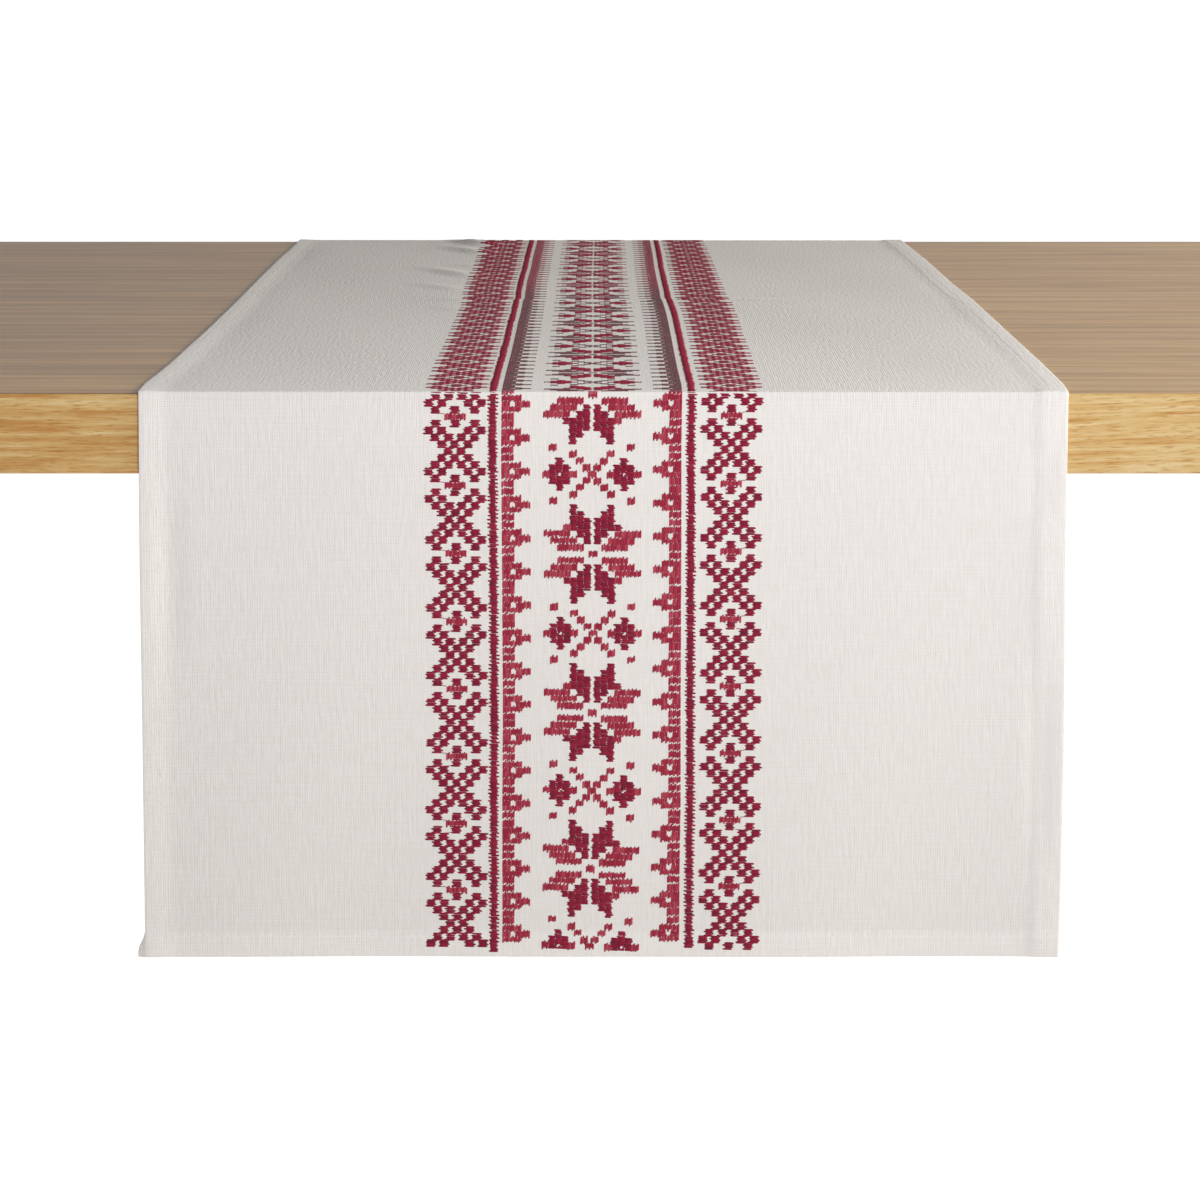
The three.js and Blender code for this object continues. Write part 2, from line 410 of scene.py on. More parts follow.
# embroidery: satin stitches, charted from a star's middle in counted cells
stitches = {
    "pitch": 0.84,  # one thread to the next
    "height": 0.19,
    "sink": 0.1,
    "spread": 0.8,  # half the width of a thread at the cloth, in pitches
    "pinch": 0.3,  # its ends go into the cloth narrower
    "ragged": 0.52,  # how much the ends of neighbouring threads differ
    "reach": 0.25,  # how far an end goes past its row, into the next row's holes
    "slant": 0.14,
    "slit": 0.56,  # some rows stand this far from the next, less the reach of their ends
    "starSlit": 0.46,
    "crownRun": 0.93,  # the crown ends a little before the thread does
    "crownEnd": 0.45,  # and is this much as high there
    "bodyRun": 2.15,  # the thread's full width runs this much nearer its ends than even cuts would
    "cell": 2.906,
    "starFirst": 39.4,  # along of the first star's middle
    "starMiddle": -4.9,
    "leftLine": -47.9,
    "rightLine": 37.9,
    "lineWidth": 4.0,
    "lineRagged": 0.75,
    "lineLying": 2.9,  # the lines lie narrower on the table
    "leftBase": -44.1,
    "rightBase": 33.8,
    "toothTop": 244.35,  # along of the tooth nearest the table's edge
    "toothPeriod": 14.64,
    "toothRow": (3.9, 7.62, 11.34, 5.4),  # two rows between teeth: where they start and end, and width
    "leftCross": -64.1,
    "rightCross": 55.3,
    "crossColumn": 2.83,
    "crossSquare": 4.2,
    "crossBar": 9.2,
    "jumpThread": 0.36,
}
period = 24 * stitches["cell"]

# star and the small figures between two stars: row, first column, last column, thread direction
starChart = [
    (1, 2, 5, "along"),
    (2, 1, 1, "across"),
    (2, 3, 6, "along"),
    (3, 1, 2, "across"),
    (3, 4, 7, "along"),
    (4, 1, 3, "across"),
    (5, 1, 3, "across"),
    (6, 2, 3, "across"),
    (7, 3, 3, "across"),
    (8, 6, 6, "along"),
    (9, 3, 3, "along"),
    (10, 2, 2, "along"),
    (10, 5, 5, "across"),
    (11, 1, 1, "along"),
    (11, 4, 6, "across"),
]
betweenStars = [(3, 3, "along"), (7, 7, "along"), (4, 4, "across"), (6, 6, "across"), (5, 5, "holed")]

# a cross figure in nine columns repeats every ten rows: row, columns
crossChart = [
    (1, (-3, 0, 3)),
    (2, (-4, -2, 2, 4)),
    (3, (-3, -1, 1, 3)),
    (4, (-2, 0, 2)),
    (5, (-1, 1)),
]


# one tooth, from its middle: out from the base and along the cloth, around one small hole
toothChart = [
    (0, 8.6, 1.15, 3.9),
    (0, 8.6, -3.3, -1.1),
    (0, 3.7, -1.4, 1.4),
    (5.8, 8.6, -1.4, 1.4),
    (8.6, 12.4, -1.5, 1.5),
]


class ThreadList:
    # each thread: middle across, middle along, length, 1 if it runs across, width, tone, lean
    def __init__(self, reach, ragged):
        self.rows = []
        self.reach = reach
        self.ragged = ragged

    def endJitter(self, i):
        return self.ragged * (0.45 * (-1) ** i + 0.55 * dice.uniform(-1, 1))

    # threads side by side that run along the cloth
    def alongBlock(self, left, right, low, high):
        count = max(int(round((right - left) / stitches["pitch"])), 1)
        for i in range(count):
            a = low - self.reach - self.endJitter(i)
            b = high + self.reach - self.endJitter(i)
            place = left + (right - left) * (i + 0.5) / count + dice.uniform(-0.05, 0.05)
            width = (right - left) / count
            self.rows.append((place, (a + b) / 2, b - a, 0.0, width, dice.random(), stitches["slant"]))

    # threads one above the other that run across it
    def acrossBlock(self, left, right, low, high):
        count = max(int(round((high - low) / stitches["pitch"])), 1)
        for i in range(count):
            a = left - self.reach - self.endJitter(i)
            b = right + self.reach - self.endJitter(i)
            place = low + (high - low) * (i + 0.5) / count + dice.uniform(-0.05, 0.05)
            width = (high - low) / count
            self.rows.append(((a + b) / 2, place, b - a, 1.0, width, dice.random(), -stitches["slant"]))

    # a thin thread carried from one figure to the next
    def jump(self, fromAcross, fromAlong, toAcross, toAlong):
        across = (fromAcross + toAcross) / 2
        along = (fromAlong + toAlong) / 2
        lean = (toAlong - fromAlong) * math.copysign(1, toAcross - fromAcross)
        length = abs(toAcross - fromAcross)
        self.rows.append((across, along, length, 1.0, stitches["jumpThread"], 0.3, lean))


# the stars near the front hem lean
def skew(along):
    return 0.028 * smooth((150 - along) / 130) + 0.006


# the sewing is a little narrower behind the middle crease
def narrowed(across, along):
    return across * (1 - 0.018 * smooth((along - 640) / 20))


# threads that cross the table's edge are cut where the cloth bends, and stay full there
def overBends(threads):
    bends = [dropLength - 0.1, dropLength + bendLength / 2, topStart + 0.1]
    bends += [cloth["length"] - bend for bend in bends]
    rows = []
    for across, along, length, isAcross, width, tone, lean in threads:
        low, high = along - length / 2, along + length / 2
        cuts = [] if isAcross else sorted(bend for bend in bends if low + 0.05 < bend < high - 0.05)
        stops = [low] + cuts + [high]
        for i in range(len(stops) - 1):
            part = (stops[i + 1] - stops[i]) / length
            place = (stops[i] + stops[i + 1]) / 2 if cuts else along
            shift = lean * (place - along) / length
            cut = (i > 0, i < len(stops) - 2)
            rows.append((across + shift, place, part * length, isAcross, width, tone, lean * part) + cut)
    return np.array(rows, float)


# painted sheen: how bright each thread is painted for the way it lies to the light, from dull at 0 to a
# painted glint at 1; spread adds each thread's random tone
paintedSheenTones = {
    "across": 0.42,
    "acrossLying": 0.1,
    "along": 0.84,  # bright where it hangs
    "alongLying": -0.74,  # and dull where it lies
    "behind": 0.42,  # less so behind the middle crease
    "spread": 0.36,
}


def makeThreads(name, threads):
    # one thread: a three-sided bar with a crown, cut twice along its run
    bm = bmesh.new()
    bmesh.ops.create_cone(bm, cap_ends=True, segments=3, radius1=1, radius2=1, depth=1)
    bmesh.ops.rotate(bm, verts=bm.verts, cent=(0, 0, 0), matrix=Matrix.Rotation(math.pi / 2, 3, "Y"))
    bars = [e for e in bm.edges if abs(e.verts[0].co.x - e.verts[1].co.x) > 0.5]
    bmesh.ops.subdivide_edges(bm, edges=bars, cuts=2)
    oneThread = bpy.data.meshes.new("oneThread")
    bm.to_mesh(oneThread)
    bm.free()
    shape = np.array([v.co[:] for v in oneThread.vertices])
    corners = np.array([loop.vertex_index for loop in oneThread.loops])
    sizes = [len(face.vertices) for face in oneThread.polygons]
    run, side, rise = shape.T
    crown = rise > 0.6
    rim = np.sign(np.where(crown, 0, side))
    rows = overBends(threads)
    across, along, length, isAcross, width, tone, lean, openLow, openHigh = [
        column[:, None] for column in rows.T]
    atEnd = np.abs(run) > 0.4
    end = atEnd & ~((run < 0) & (openLow > 0)) & ~((run > 0) & (openHigh > 0))
    pinch = np.where(end, stitches["pinch"], 1)
    runAtEnd = np.where(crown & end, run * stitches["crownRun"], run)
    alongThread = np.where(atEnd, runAtEnd, run * stitches["bodyRun"]) * length
    acrossThread = rim * pinch * width * stitches["spread"]
    u = across + np.where(isAcross > 0, alongThread, lean * run - acrossThread)
    s = along + np.where(isAcross > 0, acrossThread + lean * run, alongThread)
    thick = np.minimum(width / 0.6, 1)
    crownHeight = stitches["height"] * thick * np.where(end, stitches["crownEnd"], 1)
    height = np.where(crown, crownHeight, -stitches["sink"])
    fromHem = middle - np.abs(along - middle)
    fromStar = u - stitches["starMiddle"]
    s = s - np.interp(fromStar, (-26.5, -22, 22, 26.5), (0, -22, 22, 0)) * skew(s)
    u = narrowed(u, s)
    u, s, height = u.ravel(), s.ravel(), height.ravel()
    points = drape(u, s, cloth["thickness"] + faceHeight(u, s) + height)
    # painted sheen: threads along the cloth are painted bright where they hang and dull where they lie,
    # less dull behind the middle crease; threads across it a little brighter where they lie
    lying = smooth((fromHem - dropLength - 1) / 2)
    behind = smooth((along - 650) / 110)
    acrossPaintedSheen = paintedSheenTones["across"] + paintedSheenTones["acrossLying"] * lying
    alongPaintedSheen = paintedSheenTones["along"] + (paintedSheenTones["behind"] * behind + paintedSheenTones["alongLying"]) * lying
    paintedSheen = np.where(isAcross > 0, acrossPaintedSheen, alongPaintedSheen) + paintedSheenTones["spread"] * (tone - 0.5)
    vertexStarts = len(shape) * np.arange(len(rows))
    allCorners = (corners[None] + vertexStarts[:, None]).ravel()
    mesh = bpy.data.meshes.new(name)
    mesh.vertices.add(len(points))
    mesh.vertices.foreach_set("co", points.ravel())
    mesh.loops.add(len(allCorners))
    mesh.loops.foreach_set("vertex_index", allCorners)
    mesh.polygons.add(len(sizes) * len(rows))
    faceEnds = np.cumsum(np.tile(sizes, len(rows)))
    mesh.polygons.foreach_set("loop_start", np.concatenate([[0], faceEnds[:-1]]))
    mesh.update(calc_edges=True)
    # each thread's random tone together with its painted sheen
    toneAndSheenLayer = mesh.attributes.new("threadToneAndPaintedSheen", "FLOAT", "POINT")
    toneAndSheenLayer.data.foreach_set("value", np.repeat(paintedSheen.ravel(), len(shape)))
    # painted shade in the grooves between threads: 1 at a thread's rim and ends, 0 along its crown
    grooveShadeLayer = mesh.attributes.new("paintedGrooveShade", "FLOAT", "POINT")
    grooveShadeLayer.data.foreach_set("value", np.where(crown & ~end, 0.0, 1.0).ravel())
    # each thread's strands start at a place of their own
    ownPlace = np.repeat(tone.ravel(), len(shape)) * 40
    flat = np.stack([alongThread.ravel(), acrossThread.ravel() + ownPlace], 1)
    uvMap = mesh.uv_layers.new(name="threadRun")
    uvMap.data.foreach_set("uv", (flat[allCorners] * mm).ravel())
    mesh.shade_smooth()
    mesh.update()
    piece = bpy.data.objects.new(name, mesh)
    bpy.context.scene.collection.objects.link(piece)
    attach(piece, "root")
    print(name, len(rows), "threads", len(rows) * (sum(sizes) - 2 * len(sizes)), "triangles")
    return piece


def insideHems(low, high):
    margin = 1.8
    return low > margin and high < cloth["length"] - margin


# the middle column is a little wider, and the others stand a fifth of a cell nearer to it
def columnEdges(column):
    cell = stitches["cell"]
    centre = stitches["starMiddle"]
    if column == 0:
        return centre - 0.54 * cell, centre + 0.6 * cell
    if column > 0:
        return centre + (column - 0.7) * cell, centre + (column + 0.3) * cell
    return centre + (column - 0.3) * cell, centre + (column + 0.7) * cell


def starBandThreads():
    threads = ThreadList(stitches["reach"], stitches["ragged"])
    cell = stitches["cell"]
    for star in range(-1, 20):
        centre = stitches["starFirst"] + star * period

        def sew(row, first, last, direction):
            low = centre - (row + 0.5) * cell
            high = low + cell
            if not insideHems(low, high):
                return
            left = min(columnEdges(first)[0], columnEdges(last)[0])
            right = max(columnEdges(first)[1], columnEdges(last)[1])
            if direction == "along":
                gap = stitches["starSlit"] if dice.random() < 0.3 else -0.06
                if first == last:
                    left = left - 0.3
                    right = right + 0.3
                threads.alongBlock(left, right, low + gap, high + 0.06)
            elif direction == "holed":
                rim = 0.28 * cell
                threads.acrossBlock(left, right, low, low + rim)
                threads.acrossBlock(left, right, high - rim, high)
                threads.acrossBlock(left, left + rim, low + rim, high - rim)
                threads.acrossBlock(right - rim, right, low + rim, high - rim)
            else:
                for column in range(min(first, last), max(first, last) + 1):
                    left, right = columnEdges(column)
                    threads.acrossBlock(left - 0.1, right + 0.1, low, high)

        sew(0, 0, 0, "along")
        sew(12, 0, 0, "along")
        for first, last, direction in betweenStars:
            for side in (-1, 1):
                sew(12, side * first, side * last, direction)
        for row, first, last, direction in starChart:
            for side in (-1, 1):
                for way in (-1, 1):
                    sew(way * row, side * first, side * last, direction)
        sew(-4, -4, -4, "along")
        sew(-4, 4, 4, "across")
        sew(4, -4, -4, "across")
        sew(4, 4, 4, "along")
    return threads.rows


# toothed band: blocks of threads along the cloth, narrower between the teeth
def toothThreads(side):
    threads = ThreadList(stitches["reach"], stitches["ragged"])
    base = stitches["leftBase"] if side < 0 else stitches["rightBase"]

    def sew(first, last, low, high):
        if not insideHems(low, high):
            return
        if side < 0:
            threads.alongBlock(base + first, base + last, low, high)
        else:
            threads.alongBlock(base - last, base - first, low, high)

    for tooth in range(-73, 17):
        centre = stitches["toothTop"] - tooth * stitches["toothPeriod"]
        if side > 0:  # sewn a little unevenly
            centre = centre + 0.45 + 0.9 * math.sin((centre - 10) / 75)
        for first, last, low, high in toothChart:
            sew(first, last, centre + low, centre + high)
        slits = [stitches["slit"] if dice.random() < chance else -0.04 for chance in (0.8, 0.7, 0.7)]
        start, between, stop, width = stitches["toothRow"]
        sew(0, width, centre + start + slits[0], centre + between - slits[1] / 2)
        sew(0, width, centre + between + slits[1] / 2, centre + stop - slits[2])
    return threads.rows


def lineThreads():
    threads = ThreadList(0, stitches["lineRagged"])
    hanging = stitches["lineWidth"] / 2
    lying = stitches["lineLying"] / 2
    for centre, start in ((stitches["leftLine"], 2.0), (stitches["rightLine"], 3.9)):
        stretches = (
            (start, dropLength, hanging),
            (dropLength, topStart, (hanging + lying) / 2),
            (topStart, cloth["length"] - topStart, lying),
            (cloth["length"] - topStart, cloth["length"] - start, hanging),
        )
        for low, high, half in stretches:
            threads.acrossBlock(centre - half, centre + half, low, high)
    return threads.rows


def crossThreads(side):
    threads = ThreadList(0.1, stitches["ragged"])
    middleLine = stitches["leftCross"] if side < 0 else stitches["rightCross"]
    row = 2.987 if side < 0 else 2.971
    first = -0.1 if side < 0 else 1.85
    column = stitches["crossColumn"]
    half = stitches["crossSquare"] / 2
    bar = stitches["crossBar"] / 2
    for figure in range(0, 45):
        centre = first + figure * 10 * row
        low = centre - 0.5 * row
        if insideHems(low, low + row):
            threads.alongBlock(middleLine - bar, middleLine + bar, low, low + row)
        for step, places in crossChart:
            ways = (-1, 1) if step < 5 else (1,)
            for way in ways:
                low = centre - (way * step + 0.5) * row
                if not insideHems(low, low + row):
                    continue
                for place in places:
                    across = middleLine + place * column + dice.uniform(-0.12, 0.12)
                    threads.acrossBlock(across - half, across + half, low - 0.2, low + row + 0.2)
        if insideHems(centre - 2 * row, centre + 2 * row):
            inner = middleLine + side * 1.5 * column
            outer = middleLine + side * 2.6 * column
            threads.jump(outer, centre + 0.6 * row, inner, centre + 0.35 * row)
            if dice.random() < 0.6:
                start = outer * 0.5 + inner * 0.5
                stop = inner * 0.5 + middleLine * 0.5
                threads.jump(start, centre - 1.5 * row, stop, centre - 1.4 * row)
    return threads.rows


redPieces = [
    makeThreads("starBand", starBandThreads()),
    makeThreads("toothBandLeft", toothThreads(-1)),
    makeThreads("toothBandRight", toothThreads(1)),
    makeThreads("satinLines", lineThreads()),
    makeThreads("crossBandLeft", crossThreads(-1)),
    makeThreads("crossBandRight", crossThreads(1)),
]


# running stitches that hold the hems down
hemSewing = {"stitch": 2.3, "every": 3.1, "width": 0.32, "start": 4.0}


def hemThreads():
    rows = []
    start = hemSewing["start"]

    def sew(across, along, isAcross):
        size = (hemSewing["stitch"], isAcross, hemSewing["width"])
        rows.append((across, along) + size + (dice.random(), 0.0))

    for side in (-1, 1):
        place = side * (cloth["width"] / 2 - cloth["sideStitch"])
        along = start
        while along < cloth["length"] - start:
            sew(place + dice.uniform(-0.1, 0.1), along, 0.0)
            along += hemSewing["every"]
    for place in (cloth["endStitch"], cloth["length"] - cloth["endStitch"]):
        across = -cloth["width"] / 2 + start
        while across < cloth["width"] / 2 - start:
            sew(across, place + dice.uniform(-0.1, 0.1), 1.0)
            across += hemSewing["every"]
    return rows


hemStitches = makeThreads("hemStitches", hemThreads())


# cotton: bleached plain weave, matt and soft, warp and weft just visible with slubs in both
def makeCotton():
    # the real threads are finer, and drawn coarser to show
    weave = {"thread": 1.05, "depth": 0.125, "light": "#efeae6", "shade": "#ebe6e1", "hemGain": 0.05}
    material, tree, shader = newMaterial("bleachedCottonPlainWeave")
    place = addNode(tree, "ShaderNodeUVMap", {"uv_map": "flatCloth"}, {})
    perMetre = math.pi / (weave["thread"] * mm)
    grid = addNode(tree, "ShaderNodeVectorMath", {"operation": "SCALE"}, {
        0: place.outputs["UV"], "Scale": perMetre})
    parts = addNode(tree, "ShaderNodeSeparateXYZ", {}, {0: grid.outputs[0]})
    waves = []
    for axis in ("X", "Y"):
        wave = addNode(tree, "ShaderNodeMath", {"operation": "SINE"}, {0: parts.outputs[axis]})
        rib = addNode(tree, "ShaderNodeMath", {"operation": "ABSOLUTE"}, {0: wave.outputs[0]})
        waves.append(rib.outputs[0])
    crossing = addNode(tree, "ShaderNodeMath", {"operation": "ADD"}, {0: waves[0], 1: waves[1]})
    # long slubs in warp and weft, and short ones that mottle the cloth
    slubs = []
    for stretch in ((900, 40, 1), (40, 900, 1), (620, 110, 1)):
        turned = addNode(tree, "ShaderNodeMapping", {}, {"Vector": place.outputs["UV"], "Scale": stretch})
        slub = addNode(tree, "ShaderNodeTexNoise", {}, {
            "Vector": turned.outputs[0], "Scale": 1.0, "Detail": 2.0})
        slubs.append(slub.outputs["Fac"])
    both = addNode(tree, "ShaderNodeMath", {"operation": "ADD"}, {0: slubs[0], 1: slubs[1]})
    uneven = addNode(tree, "ShaderNodeMath", {"operation": "MULTIPLY_ADD"}, {
        0: slubs[2], 1: 3.0, 2: both.outputs[0]})
    height = addNode(tree, "ShaderNodeMath", {"operation": "MULTIPLY_ADD"}, {
        0: crossing.outputs[0], 1: 0.55, 2: uneven.outputs[0]})
    bump = addNode(tree, "ShaderNodeBump", {}, {
        "Height": height.outputs[0], "Strength": 0.5, "Distance": weave["depth"] * mm})
    lightness = addNode(tree, "ShaderNodeMapRange", {}, {
        "Value": uneven.outputs[0], "From Min": 2.0, "From Max": 3.0})
    colour = addNode(tree, "ShaderNodeMix", {"data_type": "RGBA"}, {
        "Factor": lightness.outputs[0], 6: linear(weave["shade"]), 7: linear(weave["light"])})
    # no wood shows through where the hem lies double
    hem = addNode(tree, "ShaderNodeAttribute", {"attribute_name": "hemLayers"}, {})
    gain = addNode(tree, "ShaderNodeMath", {"operation": "MULTIPLY_ADD"}, {
        0: hem.outputs["Fac"], 1: weave["hemGain"], 2: 1.0})
    whiter = addNode(tree, "ShaderNodeVectorMath", {"operation": "SCALE"}, {
        0: colour.outputs[2], "Scale": gain.outputs[0]})
    tree.links.new(whiter.outputs[0], shader.inputs["Base Color"])
    tree.links.new(bump.outputs[0], shader.inputs["Normal"])
    shader.inputs["Roughness"].default_value = 0.9
    shader.inputs["Specular IOR Level"].default_value = 0.2
    shader.inputs["Sheen Weight"].default_value = 0.05
    return material


runnerCloth.data.materials.append(makeCotton())


# red stranded cotton: slightly glossy twisted floss; its colour carries each thread's painted sheen, and
# painted shade at each thread's rim and ends, so stitches look lit along their crown
def makeRedFloss():
    floss = {
        "strand": 0.28, "grooveShade": 0.62,
        "dull": "#6f363d", "dark": "#9a2342", "bright": "#bd3950", "glint": "#cf5568"}
    material, tree, shader = newMaterial("redStrandedCotton")
    tone = addNode(tree, "ShaderNodeAttribute", {"attribute_name": "threadToneAndPaintedSheen"}, {})
    colour = addNode(tree, "ShaderNodeValToRGB", {}, {"Fac": tone.outputs["Fac"]})
    # colour stops of the painted sheen, from dull through dark and bright to a painted glint
    setStops(colour, [
        (0.08, floss["dull"]), (0.34, floss["dark"]), (0.84, floss["bright"]), (1.0, floss["glint"])])
    place = addNode(tree, "ShaderNodeUVMap", {"uv_map": "threadRun"}, {})
    turned = addNode(tree, "ShaderNodeMapping", {}, {
        "Vector": place.outputs["UV"], "Rotation": (0, 0, 0.35)})
    perStrand = 0.314 / (floss["strand"] * mm)  # the wave's own period is 0.314
    strands = addNode(tree, "ShaderNodeTexWave", {"bands_direction": "Y"}, {
        "Vector": turned.outputs[0], "Scale": perStrand})
    bump = addNode(tree, "ShaderNodeBump", {}, {
        "Height": strands.outputs["Fac"], "Strength": 0.4, "Distance": 0.05 * mm})
    # painted shade: the colour is darker in the grooves at each thread's rim and ends
    grooveShade = addNode(tree, "ShaderNodeAttribute", {"attribute_name": "paintedGrooveShade"}, {})
    grooveShadeGain = addNode(tree, "ShaderNodeMath", {"operation": "MULTIPLY_ADD"}, {
        0: grooveShade.outputs["Fac"], 1: -floss["grooveShade"], 2: 1.0})
    shaded = addNode(tree, "ShaderNodeVectorMath", {"operation": "SCALE"}, {
        0: colour.outputs[0], "Scale": grooveShadeGain.outputs[0]})
    tree.links.new(shaded.outputs[0], shader.inputs["Base Color"])
    tree.links.new(bump.outputs[0], shader.inputs["Normal"])
    shader.inputs["Roughness"].default_value = 0.48
    shader.inputs["Specular IOR Level"].default_value = 0.18
    return material


redFloss = makeRedFloss()
for piece in redPieces:
    piece.data.materials.append(redFloss)


# white sewing cotton: matt twisted thread, a little warmer than the cloth; its colour follows each
# stitch's random tone and painted sheen
def makeSewingCotton():
    material, tree, shader = newMaterial("whiteSewingCotton")
    tone = addNode(tree, "ShaderNodeAttribute", {"attribute_name": "threadToneAndPaintedSheen"}, {})
    colour = addNode(tree, "ShaderNodeValToRGB", {}, {"Fac": tone.outputs["Fac"]})
    setStops(colour, [(0.0, "#e6e0da"), (1.0, "#f2ede8")])
    tree.links.new(colour.outputs[0], shader.inputs["Base Color"])
    shader.inputs["Roughness"].default_value = 0.75
    return material


hemStitches.data.materials.append(makeSewingCotton())


# oak: open-pored hardwood, oiled and nearly matt; streaks, short dark pores and pale flecks run with
# the grain
def makeOak(name, grain, oak):
    material, tree, shader = newMaterial(name)
    place = addNode(tree, "ShaderNodeTexCoord", {}, {})
    sides = addNode(tree, "ShaderNodeSeparateXYZ", {}, {0: place.outputs["Object"]})
    rightward = addNode(tree, "ShaderNodeMath", {"operation": "MAXIMUM"}, {0: sides.outputs["X"], 1: 0.0})
    # the grain climbs a little toward the right end
    rise = addNode(tree, "ShaderNodeMath", {"operation": "MULTIPLY"}, {
        0: rightward.outputs[0], 1: rightward.outputs[0]})
    climb = addNode(tree, "ShaderNodeMath", {"operation": "MULTIPLY_ADD"}, {
        0: rise.outputs[0], 1: -oak["climb"], 2: sides.outputs["Z"]})
    grainPlace = addNode(tree, "ShaderNodeCombineXYZ", {}, {
        0: sides.outputs["X"], 1: sides.outputs["Y"], 2: climb.outputs[0]})
    noises = []
    for across, long, detail in (("streakAcross", "streakLong", 4.0), ("poreAcross", "poreLong", 2.0)):
        scale = [1000 / oak[across]] * 3
        scale[grain] = 1000 / oak[long]
        stretch = addNode(tree, "ShaderNodeMapping", {}, {
            "Vector": grainPlace.outputs[0], "Scale": scale})
        noise = addNode(tree, "ShaderNodeTexNoise", {}, {
            "Vector": stretch.outputs[0], "Scale": 1.0, "Detail": detail, "Roughness": 0.6})
        noises.append(noise.outputs["Fac"])
    # the colour grows paler to the right
    paler = addNode(tree, "ShaderNodeMath", {"operation": "MULTIPLY_ADD"}, {
        0: sides.outputs["X"], 1: oak["drift"], 2: noises[0]})
    colour = addNode(tree, "ShaderNodeValToRGB", {}, {"Fac": paler.outputs[0]})
    setStops(colour, [(0.33, oak["dark"]), (0.5, oak["main"]), (0.67, oak["pale"])])
    deep = addNode(tree, "ShaderNodeMapRange", {}, {
        "Value": noises[1], "From Min": 0.53, "From Max": 0.68})
    poreShare = addNode(tree, "ShaderNodeMath", {"operation": "MULTIPLY"}, {
        0: deep.outputs[0], 1: oak["poreShare"]})
    pored = addNode(tree, "ShaderNodeMix", {"data_type": "RGBA"}, {
        "Factor": poreShare.outputs[0], 6: colour.outputs[0], 7: linear(oak["pore"])})
    # pale flecks only right of the middle, more of them toward the right end
    high = addNode(tree, "ShaderNodeMapRange", {}, {"Value": noises[1], "From Min": 0.4, "From Max": 0.3})
    fleckShare = addNode(tree, "ShaderNodeMath", {"operation": "MULTIPLY"}, {
        0: high.outputs[0], 1: rightward.outputs[0]})
    flecked = addNode(tree, "ShaderNodeMix", {"data_type": "RGBA"}, {
        "Factor": fleckShare.outputs[0], 6: pored.outputs[2], 7: linear(oak["fleck"])})
    bump = addNode(tree, "ShaderNodeBump", {"invert": True}, {
        "Height": deep.outputs[0], "Strength": 0.4, "Distance": 0.1 * mm})
    tree.links.new(flecked.outputs[2], shader.inputs["Base Color"])
    tree.links.new(bump.outputs[0], shader.inputs["Normal"])
    shader.inputs["Roughness"].default_value = 0.38
    shader.inputs["Specular IOR Level"].default_value = 0.45
    return material


oakVeneer = makeOak("oiledOakVeneer", 0, {
    "streakAcross": 9.0, "streakLong": 260.0, "drift": 0.22, "climb": 0.0,
    "poreAcross": 3.0, "poreLong": 60.0, "poreShare": 0.4,
    "dark": "#ab8259", "main": "#c69b66", "pale": "#d9b37f",
    "pore": "#8f6b49", "fleck": "#ead0b2"})
oakEdge = makeOak("oakEdgeBand", 0, {
    "streakAcross": 1.9, "streakLong": 42.0, "drift": 0.22, "climb": 0.1,
    "poreAcross": 0.8, "poreLong": 8.0, "poreShare": 0.6,
    "dark": "#c48f4f", "main": "#d7b274", "pale": "#e2c894",
    "pore": "#b06f2e", "fleck": "#f6e8c8"})
oakEnd = makeOak("oakEndBand", 1, {
    "streakAcross": 1.9, "streakLong": 60.0, "drift": 0.0, "climb": 0.0,
    "poreAcross": 0.8, "poreLong": 9.0, "poreShare": 0.5,
    "dark": "#9a7140", "main": "#ad8850", "pale": "#bb9a66",
    "pore": "#8a5e30", "fleck": "#c4a678"})
oakLeg = makeOak("oiledOakLeg", 2, {
    "streakAcross": 5.0, "streakLong": 160.0, "drift": 0.0, "climb": 0.0,
    "poreAcross": 1.2, "poreLong": 14.0, "poreShare": 0.45,
    "dark": "#9c7547", "main": "#b08c5c", "pale": "#bfa175",
    "pore": "#86603a", "fleck": "#c2a98c"})

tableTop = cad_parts["table_top"]
tableTop.data.materials.clear()
tableTop.data.materials.append(oakVeneer)
tableTop.data.materials.append(oakEdge)
tableTop.data.materials.append(oakEnd)
for face in tableTop.data.polygons:
    across, deep, up = [abs(part) for part in face.normal]
    face.material_index = 0 if up > 0.9 else 1 if deep > across else 2
for name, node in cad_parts.items():
    if name.startswith("leg_"):
        node.data.materials.clear()
        node.data.materials.append(oakLeg)
print("oak on the table")


# studio: a wide box low at the right, a small one before the hanging end, dim walls, a grey floor
# with a painted glow, and a lit wall behind
studio = {
    # place, size, watts, tint, and whether the wood reflects it
    "boxes": {
        "sideBox": ((2.5, -0.28, 1.4), 1.3, 106.0, (1, 0.972, 0.92), True),
        "frontBox": ((0.23, -1.32, 1.15), 0.4, 7.15, (0.93, 0.955, 1), False),
    },
    "aim": (0, -0.3, 0.72),
    "floorHalf": 60,
    "floor": "#9a9a9a",
    "backdrop": 1.05,  # the white seen past the table
    "walls": 0.05,
    "wallBehind": 0.17,
    "horizon": 0.8,  # added low on the wall behind
    "glowFront": 0.57,
    "glowBack": 1.0,
    "frontTint": "#fff9f3",
}
bm = bmesh.new()
bmesh.ops.create_grid(bm, x_segments=1, y_segments=1, size=studio["floorHalf"])
floorMesh = bpy.data.meshes.new("glowingFloor")
bm.to_mesh(floorMesh)
bm.free()
glowingFloor = bpy.data.objects.new("glowingFloor", floorMesh)
bpy.context.scene.collection.objects.link(glowingFloor)
floorPaint, floorTree, floorShader = newMaterial("matGlowingFloor")
floorPlace = addNode(floorTree, "ShaderNodeTexCoord", {}, {})
floorParts = addNode(floorTree, "ShaderNodeSeparateXYZ", {}, {0: floorPlace.outputs["Object"]})
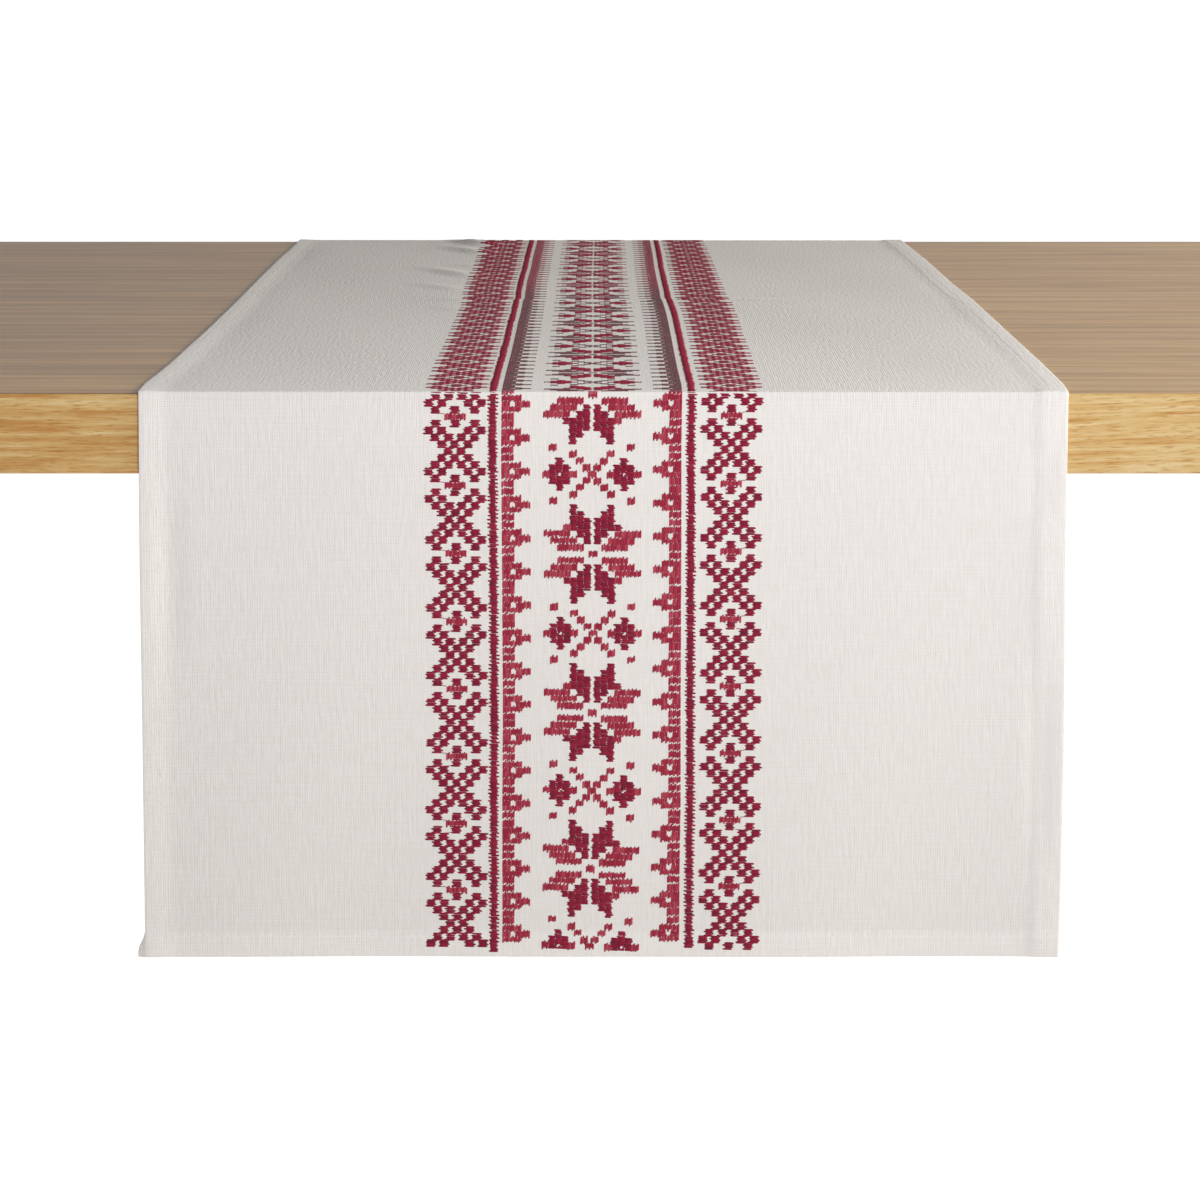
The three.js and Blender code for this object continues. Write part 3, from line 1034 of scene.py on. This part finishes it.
# painted light: the floor glows, dimmer before the table and brighter behind it, as a lit studio sweep
# looks
sweep = addNode(floorTree, "ShaderNodeMapRange", {}, {
    "Value": floorParts.outputs["Y"], "From Min": -0.4, "From Max": 0.6})
glowTint = addNode(floorTree, "ShaderNodeMix", {"data_type": "RGBA"}, {
    "Factor": sweep.outputs[0], 6: linear(studio["frontTint"]), 7: (1, 1, 1, 1)})
glowPower = addNode(floorTree, "ShaderNodeMapRange", {}, {
    "Value": sweep.outputs[0], "To Min": studio["glowFront"], "To Max": studio["glowBack"]})
floorTree.links.new(glowTint.outputs[2], floorShader.inputs["Emission Color"])
floorTree.links.new(glowPower.outputs[0], floorShader.inputs["Emission Strength"])
floorShader.inputs["Base Color"].default_value = linear(studio["floor"])
floorShader.inputs["Roughness"].default_value = 0.9
floorShader.inputs["Specular IOR Level"].default_value = 0.0
floorMesh.materials.append(floorPaint)

for name, (place, size, power, tint, reflected) in studio["boxes"].items():
    boxData = bpy.data.lights.new(name, "AREA")
    boxData.shape = "SQUARE"
    boxData.size = size
    boxData.energy = power
    boxData.color = tint
    softBox = bpy.data.objects.new(name, boxData)
    softBox.location = place
    toAim = Vector(studio["aim"]) - Vector(place)
    softBox.rotation_euler = toAim.to_track_quat("-Z", "Y").to_euler()
    softBox.visible_camera = False
    softBox.visible_glossy = reflected
    bpy.context.scene.collection.objects.link(softBox)

walls = bpy.data.worlds.new("studioWalls")
walls.use_nodes = True
bpy.context.scene.world = walls
background = walls.node_tree.nodes["Background"]
# the wall behind the table is lit too, so that the oiled wood takes a pale veil from it
wallPlace = addNode(walls.node_tree, "ShaderNodeTexCoord", {}, {})
wallParts = addNode(walls.node_tree, "ShaderNodeSeparateXYZ", {}, {0: wallPlace.outputs["Generated"]})
behind = addNode(walls.node_tree, "ShaderNodeMapRange", {"interpolation_type": "SMOOTHSTEP"}, {
    "Value": wallParts.outputs["Y"], "From Min": 0.3, "From Max": 0.95})
low = addNode(walls.node_tree, "ShaderNodeMapRange", {"interpolation_type": "SMOOTHSTEP"}, {
    "Value": wallParts.outputs["Z"], "From Min": 0.35, "From Max": 0.05})
veil = addNode(walls.node_tree, "ShaderNodeMath", {"operation": "MULTIPLY_ADD"}, {
    0: low.outputs[0], 1: studio["horizon"], 2: studio["wallBehind"]})
wallGlow = addNode(walls.node_tree, "ShaderNodeMath", {"operation": "MULTIPLY_ADD"}, {
    0: behind.outputs[0], 1: veil.outputs[0], 2: studio["walls"]})
seen = addNode(walls.node_tree, "ShaderNodeLightPath", {}, {})
glow = addNode(walls.node_tree, "ShaderNodeMapRange", {}, {
    "Value": seen.outputs["Is Camera Ray"], "To Min": wallGlow.outputs[0], "To Max": studio["backdrop"]})
walls.node_tree.links.new(glow.outputs[0], background.inputs["Strength"])
background.inputs["Color"].default_value = (1, 1, 1, 1)
print("studio lit")
